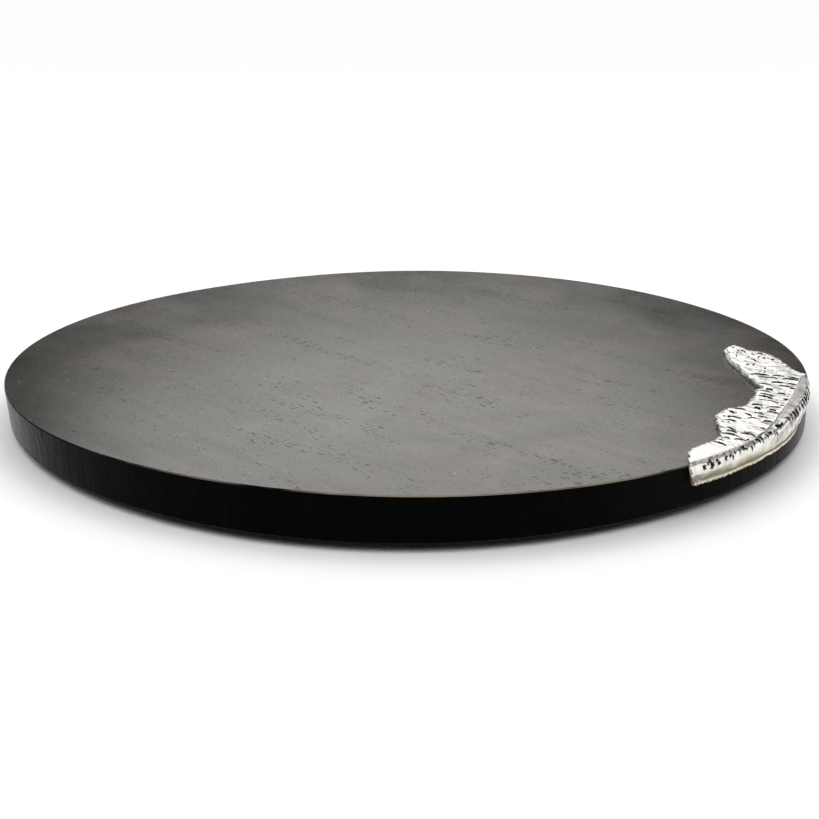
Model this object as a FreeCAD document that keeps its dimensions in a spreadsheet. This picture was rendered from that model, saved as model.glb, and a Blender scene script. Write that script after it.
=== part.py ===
import FreeCAD
import Part
import Sketcher

import math
import os

# A round serving tray: a turned and hand-shaped board of black-stained staves, with a cast
# metal trim, shaped like a strip of bark, let into its rim. Millimetres, +Z up. The origin
# is the middle of the board, on the plane that the feet rest on. +X points to the tip of
# the trim, and angles are counted from +X, anticlockwise seen from above.

# ---------------------------------------------------------------- driving dimensions
# (alias, value, meaning)
DIMENSIONS = [
    ("board_thickness", 20.0, "thickness of the staves"),
    ("arris", 0.5, "worn edge at the top and bottom of the rim"),
    ("grain_angle", -47.0, "direction of the grain in plan, in degrees"),
    ("stave_length", 430.0, "staves before the board is cut round"),
    ("foot_height", 4.0, "gap under the board"),
    ("foot_radius", 10.0, "outside of a rubber foot"),
    ("foot_well_radius", 5.0, "well for the washer and the screw's head"),
    ("foot_floor", 1.2, "rubber left above the washer"),
    ("foot_hole_radius", 1.8, "screw's hole through the rubber"),
    ("foot_edge", 0.8, "chamfer around the foot's sole"),
    ("foot_circle", 155.0, "radius of the circle that the feet stand on"),
    ("washer_radius", 4.6, "outside of the washer in a foot"),
    ("washer_bore", 1.8, "hole in the washer"),
    ("washer_thickness", 0.8, "thickness of the washer"),
    ("wood_screw_head_radius", 3.5, "pan head"),
    ("wood_screw_head_height", 1.5, "pan head"),
    ("wood_screw_radius", 1.5, "shank"),
    ("wood_screw_length", 12.0, "under the head, point included"),
    ("wood_screw_point", 2.5, "length of the point"),
    ("cross_width", 0.9, "cross recess in the pan head"),
    ("cross_span", 3.6, "cross recess in the pan head"),
    ("cross_depth", 0.9, "cross recess in the pan head"),
    ("machine_screw_head_radius", 4.0, "M4 countersunk head"),
    ("machine_screw_head_height", 2.3, "M4 countersunk head"),
    ("machine_screw_radius", 2.0, "M4 shank"),
    ("machine_screw_length", 14.0, "whole length, head included"),
    ("machine_screw_sink", 0.3, "head below the board's underside"),
    ("socket_width", 2.5, "hexagon socket, across its flats"),
    ("socket_depth", 1.4, "hexagon socket"),
    ("screw_hole_radius", 2.2, "clearance hole for a machine screw"),
    ("trim_proud", 2.6, "casting above the board"),
    ("trim_sunk", 1.5, "casting let into the board"),
    ("skirt_depth", 9.0, "skirt below the board's top face"),
    ("boss_radius", 4.0, "threaded boss under the casting"),
    ("boss_length", 10.0, "boss below the bed of the casting"),
    ("boss_fit", 0.15, "radial gap around a boss"),
    ("thread_depth", 7.5, "blind threaded hole in a boss"),
    ("dowel_radius", 4.0, "dowel across a seam"),
    ("dowel_length", 36.0, "dowel across a seam"),
    ("dowel_end_gap", 1.5, "glue space at each end of a dowel"),
]

# The board was cut by hand, so its rim is slightly out of round: its radius at the top
# every 30 degrees, and how far the wall leans out (or in) on its way to the underside.
RIM_STEP = 30
RIM_RADII = [203.5, 202.5, 204.5, 204.0, 198.5, 201.5, 206.0, 205.5, 202.0, 203.0, 204.5, 203.0]
RIM_LEAN = [0.0, 0.0, 0.0, 0.0, 0.0, 0.0, 0.0, -2.0, 0.5, 1.0, -3.0, 0.0]

# How far the casting's outer face stands outside the rim, at the same angles.
FACE_OFFSET = [0.8, 0.8, 0.8, 0.8, 0.8, 0.8, 0.8, 0.8, 0.8, 3.5, 3.5, 1.8]

# Seams between the staves: distance from the middle of the board, square to the grain.
SEAMS = [-146.0, -98.0, -57.0, 8.0, 72.0, 134.0]

# Places of the dowels along each seam, counted from the seam's middle.
DOWEL_PLACES = [
    (-75.0, 75.0),
    (-110.0, 0.0, 110.0),
    (-130.0, 0.0, 130.0),
    (-130.0, 0.0, 130.0),
    (-125.0, 0.0, 125.0),
    (-85.0, 85.0),
]

# Ragged inner edge of the casting in plan, from its near end to its tip and back out to
# the rim, as (x, y).
TRIM_EDGE = [
    (114, -172), (115, -165), (117, -158), (124, -149), (130, -144), (134, -135),
    (136, -124), (139, -110), (145, -101), (154, -96), (160, -86), (164, -75), (168, -67),
    (167, -56), (166, -42), (164, -25), (165, -8), (168, 4), (173, 7), (178, 2), (179, -3),
    (186, -8), (190, -18), (192, -34), (196, -46), (203, -51),
]
TRIM_CLEAR_RADIUS = 222.0  # clear of the rim, where the region of the casting is closed
TRIM_NEAR_ANGLE = -57.3
TRIM_FAR_ANGLE = -14.1

# Middles of the casting's threaded bosses, as (angle, radius).
BOSSES = [(-37.0, 190.0), (-22.0, 190.0), (-5.0, 178.0)]

FOOT_ANGLES = [45.0, 135.0, 225.0, 315.0]

document = FreeCAD.newDocument("serving_tray")
sheet = document.addObject("Spreadsheet::Sheet", "dims")
parts = []  # finished sub-parts, in the order in which they are written
ALIASES = set()  # every alias of the sheet


def write_cell(row, alias, value, meaning):
    """One row of the sheet: meaning, and a value that has an alias."""
    sheet.set(f"A{row}", meaning)
    sheet.set(f"B{row}", str(value))
    sheet.setAlias(f"B{row}", alias)


def fill_sheet():
    """Writes every driving dimension, the lists as numbered aliases."""
    rows = list(DIMENSIONS)
    for i, (radius, lean, offset) in enumerate(zip(RIM_RADII, RIM_LEAN, FACE_OFFSET)):
        angle = i * RIM_STEP
        rows.append((f"rim_radius_{angle:03d}", radius, f"rim at the top, {angle} degrees"))
        rows.append((f"rim_lean_{angle:03d}", lean, f"lean of the wall, {angle} degrees"))
        rows.append((f"face_offset_{angle:03d}", offset, f"casting's face, {angle} degrees"))
    for i, offset in enumerate(SEAMS, start=1):
        rows.append((f"seam_offset_{i}", offset, f"seam {i} from the middle"))
    for i, (x, y) in enumerate(TRIM_EDGE, start=1):
        rows.append((f"edge_x_{i}", x, f"casting's edge, point {i}"))
        rows.append((f"edge_y_{i}", y, f"casting's edge, point {i}"))
    for row, (alias, value, meaning) in enumerate(rows, start=1):
        write_cell(row, alias, value, meaning)
        ALIASES.add(alias)
    document.recompute()


def size(alias):
    """The number in the sheet's cell of that alias."""
    return float(sheet.get(alias))


def cells(expression):
    """An expression of aliases, with each alias written as dims.alias."""
    words = expression.replace("(", "( ").replace(")", " )").split()
    return " ".join(f"dims.{word}" if word in ALIASES else word for word in words)


def bind(thing, **expressions):
    """Binds properties of an object to the sheet's cells."""
    for name, expression in expressions.items():
        thing.setExpression(name, cells(expression))


def place(thing, x, y, height, turn="0", pitch="0", roll="0"):
    """Binds a placement to the sheet: where its origin goes, and its turns in degrees."""
    where = "; ".join(cells(word) for word in (x, y, height))
    turned = "; ".join(cells(word) for word in (turn, pitch, roll))
    thing.setExpression("Placement", f"placement(vector({where}); rotation({turned}))")


def on_circle(radius, angle, height=0.0):
    """The point at that radius and angle, in degrees, seen from above."""
    turn = math.radians(angle)
    return FreeCAD.Vector(radius * math.cos(turn), radius * math.sin(turn), height)


def finish_part(thing, label):
    """Names a finished sub-part."""
    thing.Label = label
    parts.append(thing)
    return thing


def polar(radius, angle):
    """Expressions for x and y of the point at that radius and angle."""
    return f"{radius} * cos( {angle} )", f"{radius} * sin( {angle} )"


def along_seam(along, across):
    """Expressions for x and y of the point at those distances along and square to the grain."""
    x = f"( {along} ) * cos( grain_angle ) - ( {across} ) * sin( grain_angle )"
    y = f"( {along} ) * sin( grain_angle ) + ( {across} ) * cos( grain_angle )"
    return x, y


# ---------------------------------------------------------------- outlines
def closed_curve(radii, height):
    """A smooth closed wire through a radius every RIM_STEP degrees."""
    points = [on_circle(r, i * RIM_STEP, height) for i, r in enumerate(radii)]
    curve = Part.BSplineCurve()
    curve.interpolate(
        Points=points,
        PeriodicFlag=True,
        Parameters=[float(i) for i in range(len(points) + 1)],
    )
    return Part.Wire([curve.toShape()])


def rim_radii(share, inset=0.0):
    """The rim's radii at a share of the way from the top, 0, to the underside, 1."""
    radii = []
    for i in range(len(RIM_RADII)):
        angle = i * RIM_STEP
        top = size(f"rim_radius_{angle:03d}")
        radii.append(top + share * size(f"rim_lean_{angle:03d}") - inset)
    return radii


def outline(name, radii, height):
    """A feature that holds one closed outline."""
    feature = document.addObject("Part::Feature", name)
    feature.Shape = closed_curve(radii, height)
    return feature


def make_blank():
    """The whole board before it is divided into staves: a round slab with worn edges."""
    low, thick = size("foot_height"), size("board_thickness")
    arris = size("arris")
    sections = [
        outline("blank_sole", rim_radii(1.0, inset=arris), low),
        outline("blank_low", rim_radii(1.0 - arris / thick), low + arris),
        outline("blank_high", rim_radii(arris / thick), low + thick - arris),
        outline("blank_face", rim_radii(0.0, inset=arris), low + thick),
    ]
    blank = document.addObject("Part::Loft", "blank")
    blank.Sections = sections
    blank.Solid = True
    blank.Ruled = True
    return blank


def trim_region():
    """The closed wire around the place of the casting: ragged on the board, plain beyond the rim."""
    points = [
        FreeCAD.Vector(size(f"edge_x_{i}"), size(f"edge_y_{i}"), 0)
        for i in range(1, len(TRIM_EDGE) + 1)
    ]
    ragged = Part.BSplineCurve()
    ragged.interpolate(Points=points)
    far = on_circle(TRIM_CLEAR_RADIUS, TRIM_FAR_ANGLE)
    near = on_circle(TRIM_CLEAR_RADIUS, TRIM_NEAR_ANGLE)
    middle = on_circle(TRIM_CLEAR_RADIUS, (TRIM_FAR_ANGLE + TRIM_NEAR_ANGLE) / 2)
    edges = [
        ragged.toShape(),
        Part.makeLine(points[-1], far),
        Part.Arc(far, middle, near).toShape(),
        Part.makeLine(near, points[0]),
    ]
    return Part.Wire(edges)


# ---------------------------------------------------------------- turned pieces
def origin_plane(body, role):
    """A body's own origin plane, such as XY_Plane."""
    return next(f for f in body.Origin.OriginFeatures if f.Role == role)


def new_sketch(body, name, role):
    """A sketch on one of the body's origin planes."""
    sketch = body.newObject("Sketcher::SketchObject", name)
    sketch.AttachmentSupport = (origin_plane(body, role), [""])
    sketch.MapMode = "FlatFace"
    return sketch


def value_of(expression):
    """The present value of an expression of aliases."""
    names = {alias: size(alias) for alias, _, _ in DIMENSIONS if alias in expression.split()}
    total, sign = 0.0, 1.0
    for word in expression.split():
        if word in "+-":
            sign = 1.0 if word == "+" else -1.0
        else:
            total += sign * (names[word] if word in names else float(word))
    return total


def profile_sketch(body, name, profile):
    """A closed profile of (radius, height) expressions, every corner bound to the sheet."""
    sketch = new_sketch(body, name, "XZ_Plane")
    corners = [FreeCAD.Vector(value_of(r), value_of(z), 0) for r, z in profile]
    for i, corner in enumerate(corners):
        sketch.addGeometry(Part.LineSegment(corner, corners[(i + 1) % len(corners)]))
    for i in range(len(corners)):
        sketch.addConstraint(Sketcher.Constraint("Coincident", i, 2, (i + 1) % len(corners), 1))
    for i, (radius, height) in enumerate(profile):
        if radius == "0":
            sketch.addConstraint(Sketcher.Constraint("PointOnObject", i, 1, -2))
        else:
            number = sketch.addConstraint(
                Sketcher.Constraint("DistanceX", -1, 1, i, 1, corners[i].x)
            )
            sketch.setExpression(f"Constraints[{number}]", cells(radius))
        if height == "0":
            sketch.addConstraint(Sketcher.Constraint("PointOnObject", i, 1, -1))
        else:
            number = sketch.addConstraint(
                Sketcher.Constraint("DistanceY", -1, 1, i, 1, corners[i].y)
            )
            sketch.setExpression(f"Constraints[{number}]", cells(height))
    return sketch


def turned_body(name, profile):
    """A body turned about its own Z axis from a profile of (radius, height) expressions."""
    body = document.addObject("PartDesign::Body", name)
    sketch = profile_sketch(body, name + "_profile", profile)
    revolution = body.newObject("PartDesign::Revolution", name + "_turned")
    revolution.Profile = sketch
    revolution.ReferenceAxis = (sketch, ["V_Axis"])
    revolution.Angle = 360.0
    document.recompute()
    return body


def make_foot(number, angle):
    """A rubber foot: a short round pad with a well in its sole for the washer and screw."""
    body = turned_body(
        f"foot_body_{number}",
        [
            ("foot_well_radius", "0"),
            ("foot_radius - foot_edge", "0"),
            ("foot_radius", "foot_edge"),
            ("foot_radius", "foot_height"),
            ("foot_hole_radius", "foot_height"),
            ("foot_hole_radius", "foot_height - foot_floor"),
            ("foot_well_radius", "foot_height - foot_floor"),
        ],
    )
    place(body, *polar("foot_circle", angle), "0")
    return finish_part(body, f"rubber_foot_{number}")


def make_washer(number, angle):
    """The flat washer that spreads the screw's grip over the foot's floor."""
    body = turned_body(
        f"washer_body_{number}",
        [
            ("washer_bore", "0"),
            ("washer_radius", "0"),
            ("washer_radius", "washer_thickness"),
            ("washer_bore", "washer_thickness"),
        ],
    )
    place(body, *polar("foot_circle", angle), "foot_height - foot_floor - washer_thickness")
    return finish_part(body, f"foot_washer_{number}")


def slot_sketch(body, name, length, width):
    """A rectangle centred on the axis, in the body's ground plane, its sides bound to the sheet."""
    sketch = new_sketch(body, name, "XY_Plane")
    half_x, half_y = size(length) / 2, size(width) / 2
    corners = [
        FreeCAD.Vector(x, y, 0)
        for x, y in ((-half_x, -half_y), (half_x, -half_y), (half_x, half_y), (-half_x, half_y))
    ]
    for i, corner in enumerate(corners):
        sketch.addGeometry(Part.LineSegment(corner, corners[(i + 1) % 4]))
    for i in range(4):
        sketch.addConstraint(Sketcher.Constraint("Coincident", i, 2, (i + 1) % 4, 1))
        sketch.addConstraint(Sketcher.Constraint("Vertical" if i % 2 else "Horizontal", i))
    sketch.addConstraint(Sketcher.Constraint("Symmetric", 0, 1, 1, 2, -1, 1))
    for line, alias in ((0, length), (1, width)):
        number = sketch.addConstraint(Sketcher.Constraint("Distance", line, size(alias)))
        sketch.setExpression(f"Constraints[{number}]", cells(alias))
    return sketch


def hexagon_sketch(body, name, across_flats):
    """A regular hexagon centred on the axis, in the body's ground plane."""
    sketch = new_sketch(body, name, "XY_Plane")
    reach = size(across_flats) / math.sqrt(3)
    corners = [on_circle(reach, 60 * i) for i in range(6)]
    for i, corner in enumerate(corners):
        sketch.addGeometry(Part.LineSegment(corner, corners[(i + 1) % 6]))
    circle = sketch.addGeometry(
        Part.Circle(FreeCAD.Vector(0, 0, 0), FreeCAD.Vector(0, 0, 1), reach), True
    )
    sketch.addConstraint(Sketcher.Constraint("Coincident", circle, 3, -1, 1))
    for i in range(6):
        sketch.addConstraint(Sketcher.Constraint("Coincident", i, 2, (i + 1) % 6, 1))
        sketch.addConstraint(Sketcher.Constraint("PointOnObject", i, 1, circle))
        if i:
            sketch.addConstraint(Sketcher.Constraint("Equal", 0, i))
    sketch.addConstraint(Sketcher.Constraint("PointOnObject", 0, 1, -1))
    number = sketch.addConstraint(Sketcher.Constraint("Radius", circle, reach))
    sketch.setExpression(f"Constraints[{number}]", cells(across_flats) + " / sqrt(3)")
    return sketch


def sink(body, sketch, name, depth):
    """A pocket from the body's ground plane up into the solid."""
    before = body.Shape.Volume
    pocket = body.newObject("PartDesign::Pocket", name)
    pocket.Profile = sketch
    pocket.Reversed = True
    pocket.setExpression("Length", cells(depth))
    document.recompute()
    if not body.Shape.Volume < before:
        raise RuntimeError(f"{name} cuts nothing")


def make_foot_screw(number, angle):
    """A pan-head wood screw, head down in the foot's well, with a cross recess."""
    name = f"foot_screw_body_{number}"
    tip = "wood_screw_head_height + wood_screw_length"
    body = turned_body(
        name,
        [
            ("0", "0"),
            ("wood_screw_head_radius", "0"),
            ("wood_screw_head_radius", "wood_screw_head_height"),
            ("wood_screw_radius", "wood_screw_head_height"),
            ("wood_screw_radius", tip + " - wood_screw_point"),
            ("0", tip),
        ],
    )
    for turn, (length, width) in enumerate(
        (("cross_span", "cross_width"), ("cross_width", "cross_span"))
    ):
        sketch = slot_sketch(body, f"{name}_cross_{turn}", length, width)
        sink(body, sketch, f"{name}_recess_{turn}", "cross_depth")
    height = "foot_height - foot_floor - washer_thickness - wood_screw_head_height"
    place(body, *polar("foot_circle", angle), height)
    return finish_part(body, f"foot_screw_{number}")


def make_trim_screw(number, angle, radius):
    """A countersunk machine screw that pulls a boss of the casting down from below."""
    name = f"trim_screw_body_{number}"
    body = turned_body(
        name,
        [
            ("0", "0"),
            ("machine_screw_head_radius", "0"),
            ("machine_screw_radius", "machine_screw_head_height"),
            ("machine_screw_radius", "machine_screw_length"),
            ("0", "machine_screw_length"),
        ],
    )
    sink(body, hexagon_sketch(body, name + "_hexagon", "socket_width"), name + "_socket",
         "socket_depth")
    place(body, *polar(radius, angle), "foot_height + machine_screw_sink")
    return finish_part(body, f"trim_screw_{number}")


# ---------------------------------------------------------------- tools that cut the wood
def cylinder(name, radius, height, x, y, z, **turns):
    """A plain cylinder, its radius, height and place bound to the sheet."""
    thing = document.addObject("Part::Cylinder", name)
    bind(thing, Radius=radius, Height=height)
    place(thing, x, y, z, **turns)
    return thing


def dowel(name, radius, length, place_along, seam):
    """A cylinder that crosses a seam square to the grain, halfway up the board."""
    x, y = along_seam(place_along, f"seam_offset_{seam} - ( {length} ) / 2")
    middle = "foot_height + board_thickness / 2"
    return cylinder(name, radius, length, x, y, middle, turn="grain_angle", roll="-90")


def prism(name, base, height):
    """A closed outline carried straight up."""
    thing = document.addObject("Part::Extrusion", name)
    thing.Base = base
    thing.DirMode = "Custom"
    thing.Dir = FreeCAD.Vector(0, 0, 1)
    thing.Solid = True
    bind(thing, LengthFwd=height)
    return thing


def region_prism(name, low, height):
    """The region of the casting as a prism that starts at the height given by low."""
    feature = document.addObject("Part::Feature", name + "_outline")
    feature.Shape = trim_region()
    place(feature, "0", "0", low)
    return prism(name, feature, height)


def boolean(kind, name, base, tool):
    """Base cut by, or in common with, tool."""
    thing = document.addObject("Part::" + kind, name)
    thing.Base = base
    thing.Tool = tool
    return thing


def fuse(name, shapes):
    """Several shapes as one."""
    thing = document.addObject("Part::MultiFuse", name)
    thing.Shapes = shapes
    return thing


BED = "foot_height + board_thickness - trim_sunk"  # height of the floor of the trim's bed


def wood_cuts(bed):
    """Everything that is cut out of the wood: the trim's bed, and all the holes."""
    cuts = [bed]
    for number, (angle, radius) in enumerate(BOSSES, start=1):
        x, y = polar(radius, angle)
        cuts.append(
            cylinder(f"boss_hole_{number}", "boss_radius + boss_fit", "boss_length + trim_sunk",
                     x, y, BED + " - boss_length")
        )
        cuts.append(
            cylinder(f"screw_hole_{number}", "screw_hole_radius", "board_thickness / 2",
                     x, y, "foot_height")
        )
        sinking = document.addObject("Part::Cone", f"countersink_{number}")
        bind(
            sinking,
            Radius1="machine_screw_head_radius + machine_screw_sink",
            Radius2="machine_screw_radius",
            Height="machine_screw_head_height + machine_screw_sink",
        )
        place(sinking, x, y, "foot_height")
        cuts.append(sinking)
    for number, angle in enumerate(FOOT_ANGLES, start=1):
        depth = "wood_screw_length - foot_floor - washer_thickness"
        cuts.append(
            cylinder(f"pilot_{number}", "wood_screw_radius", depth,
                     *polar("foot_circle", angle), "foot_height")
        )
    for seam, places in enumerate(DOWEL_PLACES, start=1):
        for number, along in enumerate(places, start=1):
            cuts.append(
                dowel(f"dowel_hole_{seam}_{number}", "dowel_radius",
                      "dowel_length + 2 * dowel_end_gap", along, seam)
            )
    return fuse("wood_cuts", cuts)


# ---------------------------------------------------------------- board
def make_staves(blank, cuts):
    """The board's staves: strips of the round slab, side by side along the grain."""
    sides = ["0 - stave_length / 2"]
    sides += [f"seam_offset_{seam}" for seam in range(1, len(SEAMS) + 1)]
    sides += ["stave_length / 2"]
    for number, (near, far) in enumerate(zip(sides, sides[1:]), start=1):
        strip = document.addObject("Part::Box", f"strip_{number}")
        bind(
            strip,
            Length="stave_length",
            Width=f"( {far} ) - ( {near} )",
            Height="foot_height + board_thickness",
        )
        place(strip, *along_seam("0 - stave_length / 2", near), "foot_height",
              turn="grain_angle")
        round_strip = boolean("Common", f"round_strip_{number}", blank, strip)
        finish_part(boolean("Cut", f"cut_strip_{number}", round_strip, cuts), f"stave_{number}")


def make_dowels():
    """The dowels of each seam, one sub-part to a seam."""
    for seam, places in enumerate(DOWEL_PLACES, start=1):
        pins = [
            dowel(f"dowel_{seam}_{number}", "dowel_radius", "dowel_length", along, seam)
            for number, along in enumerate(places, start=1)
        ]
        group = document.addObject("Part::Compound", f"dowel_group_{seam}")
        group.Links = pins
        finish_part(group, f"seam_dowels_{seam}")


# ---------------------------------------------------------------- casting
def make_trim(blank, bed):
    """The casting: a plate let into the board, a skirt outside the rim, and threaded bosses."""
    low = "foot_height + board_thickness - skirt_depth"
    height = "skirt_depth + trim_proud"
    radii = [
        size(f"rim_radius_{i * RIM_STEP:03d}") + size(f"face_offset_{i * RIM_STEP:03d}")
        for i in range(len(RIM_RADII))
    ]
    face_outline = outline("face_outline", radii, 0.0)
    place(face_outline, "0", "0", low)
    face = prism("face_prism", face_outline, height)
    block = boolean("Common", "casting_block", face, region_prism("casting_region", low, height))
    bedded_board = boolean("Cut", "bedded_board", blank, bed)
    shell = boolean("Cut", "casting_shell", block, bedded_board)
    bosses, threads = [], []
    for number, (angle, radius) in enumerate(BOSSES, start=1):
        x, y = polar(radius, angle)
        foot = BED + " - boss_length"
        bosses.append(
            cylinder(f"boss_{number}", "boss_radius", "boss_length + trim_sunk", x, y, foot)
        )
        threads.append(
            cylinder(f"thread_{number}", "machine_screw_radius", "thread_depth", x, y, foot)
        )
    solid = fuse("casting_with_bosses", [shell] + bosses)
    finish_part(boolean("Cut", "casting", solid, fuse("threads", threads)), "bark_trim")


# ---------------------------------------------------------------- the tray
def check_and_write():
    """Stops if any feature or sub-part is faulty, and writes every sub-part's STEP file."""
    for thing in document.Objects:
        if "Invalid" in thing.State or "Error" in thing.State:
            raise RuntimeError(f"{thing.Name} failed: {thing.State}")
    os.makedirs("parts", exist_ok=True)
    for thing in parts:
        shape = thing.Shape
        if shape.isNull() or not shape.isValid() or not shape.Solids:
            raise RuntimeError(f"{thing.Label} has no valid solid")
        shape.exportStep(f"parts/{thing.Label}.step")
        print(f"{thing.Label}: {len(shape.Solids)} solid(s), {shape.Volume:.0f} mm3")


fill_sheet()
blank = make_blank()
bed = region_prism("trim_bed", BED, "trim_sunk + trim_proud")
document.recompute()
make_staves(blank, wood_cuts(bed))
make_dowels()
make_trim(blank, bed)
for number, (angle, radius) in enumerate(BOSSES, start=1):
    make_trim_screw(number, angle, radius)
for number, angle in enumerate(FOOT_ANGLES, start=1):
    make_foot(number, angle)
    make_washer(number, angle)
    make_foot_screw(number, angle)
document.recompute()
check_and_write()
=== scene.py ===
"""Looks of the serving tray: black-stained staves and a cast trim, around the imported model."""
import math
import random

import bpy
import numpy as np
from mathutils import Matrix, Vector


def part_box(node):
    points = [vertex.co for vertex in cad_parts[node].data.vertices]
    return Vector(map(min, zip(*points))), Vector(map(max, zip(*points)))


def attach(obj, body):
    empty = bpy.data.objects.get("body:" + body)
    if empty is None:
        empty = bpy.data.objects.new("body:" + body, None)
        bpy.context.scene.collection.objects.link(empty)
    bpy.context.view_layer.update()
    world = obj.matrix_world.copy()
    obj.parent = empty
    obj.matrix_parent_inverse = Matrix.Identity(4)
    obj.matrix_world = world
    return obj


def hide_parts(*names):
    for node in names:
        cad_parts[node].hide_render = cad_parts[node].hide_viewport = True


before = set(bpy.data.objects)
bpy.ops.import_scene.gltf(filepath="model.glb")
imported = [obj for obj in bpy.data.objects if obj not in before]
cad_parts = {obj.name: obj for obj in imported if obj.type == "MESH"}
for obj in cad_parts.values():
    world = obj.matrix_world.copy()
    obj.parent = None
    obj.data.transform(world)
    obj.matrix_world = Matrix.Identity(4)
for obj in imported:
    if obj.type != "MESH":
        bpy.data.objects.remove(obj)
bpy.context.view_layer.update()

BODY = "root"
STAVES = sorted(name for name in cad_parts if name.startswith("stave_"))
BOARD_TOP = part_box("stave_4")[1].z
GRAIN_ANGLE = math.radians(-47)
MM = 0.001
RUBBED_SPOT = (0.124, -0.134, BOARD_TOP)  # beside the casting the stain is rubbed to brown
ARRIS_WORN_FROM = (-0.15, -0.07)  # the arris is dark left of the first X, worn right of the second


# ---------------------------------------------------------------- node helpers
def new_material(name, **constants):
    """A node material whose Principled shader has those constants: (material, tree, shader)."""
    material = bpy.data.materials.new(name)
    material.use_nodes = True
    tree = material.node_tree
    shader = tree.nodes["Principled BSDF"]
    for socket, value in constants.items():
        shader.inputs[socket.replace("_", " ")].default_value = value
    return material, tree, shader


def add(tree, kind, inputs=None, **settings):
    """A node of that kind; inputs are values or sockets by name or number."""
    node = tree.nodes.new(kind)
    for name, value in settings.items():
        setattr(node, name, value)
    for name, value in (inputs or {}).items():
        if isinstance(value, bpy.types.NodeSocket):
            tree.links.new(value, node.inputs[name])
        else:
            node.inputs[name].default_value = value
    return node


def maths(tree, operation, a, b=0.0, clamp=False):
    """A Math node's result."""
    node = add(tree, "ShaderNodeMath", {0: a, 1: b}, operation=operation, use_clamp=clamp)
    return node.outputs[0]


def step_between(tree, value, low, high):
    """0 below low and 1 above high, smooth in between; low may be above high."""
    flip = low > high
    node = add(
        tree,
        "ShaderNodeMapRange",
        {"Value": value, "From Min": min(low, high), "From Max": max(low, high),
         "To Min": 1.0 if flip else 0.0, "To Max": 0.0 if flip else 1.0},
        interpolation_type="SMOOTHSTEP",
    )
    return node.outputs["Result"]


def mix_colour(tree, factor, a, b):
    """A Mix node for colours; a and b are sockets or (r, g, b)."""
    node = add(tree, "ShaderNodeMix", data_type="RGBA")
    for index, value in ((0, factor), (6, a), (7, b)):
        if isinstance(value, bpy.types.NodeSocket):
            tree.links.new(value, node.inputs[index])
        elif index == 0:
            node.inputs[index].default_value = value
        else:
            node.inputs[index].default_value = (*value, 1.0)
    return node.outputs[2]


def tinted(tree, colour, mask, strength, tint):
    """The colour with a share of the tint laid over it where the mask is 1."""
    return mix_colour(tree, maths(tree, "MULTIPLY", mask, strength), colour, tint)


def weighted_sum(tree, start, *terms, clamp=False):
    """The start value plus each (socket, weight) term's product."""
    total = start
    for value, weight in terms:
        total = maths(tree, "ADD", total, maths(tree, "MULTIPLY", value, weight), clamp)
    return total


def add_bump(tree, shader, height, strength, distance):
    """Lets a height pattern tilt the shader's normal."""
    inputs = {"Height": height, "Strength": strength, "Distance": distance}
    bump = add(tree, "ShaderNodeBump", inputs)
    tree.links.new(bump.outputs["Normal"], shader.inputs["Normal"])


def stretched(tree, where, scale, offset=(0, 0, 0)):
    """The coordinates scaled by a different amount along each axis."""
    node = add(tree, "ShaderNodeMapping", {"Vector": where, "Scale": scale, "Location": offset})
    return node.outputs["Vector"]


def noise(tree, where, scale, detail=3.0, roughness=0.5, distortion=0.0):
    """A Noise texture's factor."""
    node = add(
        tree,
        "ShaderNodeTexNoise",
        {"Vector": where, "Scale": scale, "Detail": detail, "Roughness": roughness,
         "Distortion": distortion},
    )
    return node.outputs["Fac"]


# ---------------------------------------------------------------- stage
def make_floor():
    """A wide pale floor under the feet."""
    bpy.ops.mesh.primitive_plane_add(size=60.0, location=(0, 0, 0))
    floor = bpy.context.object
    floor.name = "floor"
    material, _, _ = new_material("floor_paper", Base_Color=(0.9, 0.9, 0.9, 1), Roughness=0.9)
    floor.data.materials.append(material)


def make_backdrop():
    """A white wall far round the floor. Only the camera sees it, so gloss stays dim."""
    height, below_floor = 14.0, 0.1
    bpy.ops.mesh.primitive_cylinder_add(
        vertices=96, radius=12.0, depth=height, end_fill_type="NOTHING",
        location=(0, 0, height / 2 - below_floor),
    )
    wall = bpy.context.object
    wall.name = "backdrop"
    white = (1, 1, 1, 1)
    material, _, _ = new_material("backdrop_paper", Emission_Color=white, Emission_Strength=1.0)
    wall.data.materials.append(material)
    wall.visible_diffuse = wall.visible_glossy = wall.visible_shadow = False


def make_softbox(name, place, target, width, height, radiance, colour):
    """A soft oval studio light of that radiance that points at the target."""
    data = bpy.data.lights.new(name, "AREA")
    data.shape = "ELLIPSE"
    data.size, data.size_y = width, height
    data.energy = radiance * math.pi * (math.pi / 4 * width * height)
    data.color = colour
    light = bpy.data.objects.new(name, data)
    light.location = place
    aim = Vector(target) - Vector(place)
    light.rotation_euler = aim.to_track_quat("-Z", "Y").to_euler()
    bpy.context.scene.collection.objects.link(light)


def make_world(low_strength, high_strength):
    """A studio that is dim near the horizon and bright overhead, but less so at the zenith."""
    brightens, dims, zenith_loss = (0.45, 0.8), (0.90, 0.97), 0.62  # by the sine of elevation
    world = bpy.data.worlds.new("surround")
    world.use_nodes = True
    tree = world.node_tree
    background = tree.nodes["Background"]
    background.inputs["Color"].default_value = (1, 1, 1, 1)
    where = add(tree, "ShaderNodeTexCoord").outputs["Generated"]
    height = add(tree, "ShaderNodeSeparateXYZ", {0: where}).outputs["Z"]
    overhead = step_between(tree, height, *brightens)
    strength = add(
        tree,
        "ShaderNodeMapRange",
        {"Value": overhead, "To Min": low_strength, "To Max": high_strength},
    )
    zenith = maths(tree, "MULTIPLY", step_between(tree, height, *dims), zenith_loss)
    strength = maths(
        tree, "MULTIPLY", strength.outputs["Result"], maths(tree, "SUBTRACT", 1.0, zenith)
    )
    tree.links.new(strength, background.inputs["Strength"])
    bpy.context.scene.world = world


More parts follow.
